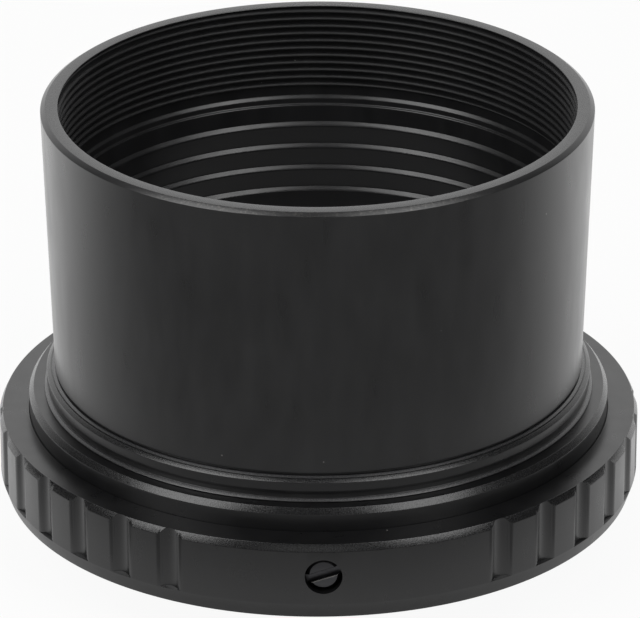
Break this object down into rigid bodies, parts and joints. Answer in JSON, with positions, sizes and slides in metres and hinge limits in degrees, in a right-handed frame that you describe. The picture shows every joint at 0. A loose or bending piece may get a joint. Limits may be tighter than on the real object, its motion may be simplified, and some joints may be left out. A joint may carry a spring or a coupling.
{
  "type": "t-mount adapter",
  "caption": "Black t-mount adapter: camera bayonet with a scalloped grip ring, turnable T ring and a plain two-inch nosepiece barrel with a filter thread in its mouth.",
  "frame": {"origin": "on the optical axis in the plane of the bayonet tube's lower end, which the adapter stands on; the camera flange face is 3.9 mm above it", "axes": "+Z along the light path from the camera towards the telescope; -Y is the front with the first set screw"},
  "size_m": [0.0598, 0.0598, 0.0415],
  "materials": {
    "anodised_ring": "satin black anodised",
    "anodised_barrel": "satin black anodised",
    "bayonet_chrome": "satin chrome plate",
    "plate_screw_steel": "plated steel",
    "set_screw_black": "black oxide"
  },
  "bodies": {
    "camera_side": {"grip_ring": "anodised_ring", "bayonet_plate": "bayonet_chrome", "plate_screw_1": "plate_screw_steel", "plate_screw_2": "plate_screw_steel", "plate_screw_3": "plate_screw_steel", "plate_screw_4": "plate_screw_steel"},
    "t_ring": {"t_ring": "anodised_ring"},
    "thread_collar": {"thread_collar": "anodised_barrel"},
    "nosepiece": {"nosepiece_barrel": "anodised_barrel"},
    "set_screw_1": {"set_screw_1": "set_screw_black"},
    "set_screw_2": {"set_screw_2": "set_screw_black"},
    "set_screw_3": {"set_screw_3": "set_screw_black"}
  },
  "joints": [
    {"name": "t_ring_turn", "type": "hinge", "parent": "camera_side", "child": "t_ring", "pos_m": [0, 0, 0.00817], "axis": [0, 0, 1], "continuous": true},
    {"name": "nosepiece_lift", "type": "slide", "parent": "t_ring", "child": "thread_collar", "axis": [0, 0, 1], "range_m": [0, 0.0045]},
    {"name": "nosepiece_unscrew", "type": "hinge", "parent": "thread_collar", "child": "nosepiece", "pos_m": [0, 0, 0.01548], "axis": [0, 0, 1], "range_deg": [0, 2160]},
    {"name": "set_screw_1_out", "type": "slide", "parent": "camera_side", "child": "set_screw_1", "axis": [0.014, -0.9999, 0], "range_m": [0, 0.001]},
    {"name": "set_screw_2_out", "type": "slide", "parent": "camera_side", "child": "set_screw_2", "axis": [0.859, 0.512, 0], "range_m": [0, 0.001]},
    {"name": "set_screw_3_out", "type": "slide", "parent": "camera_side", "child": "set_screw_3", "axis": [-0.8729, 0.4879, 0], "range_m": [0, 0.001]}
  ],
  "couplings": [
    {"joint": "nosepiece_lift", "follows": "nosepiece_unscrew", "m_per_rad": 0.00011937}
  ]
}
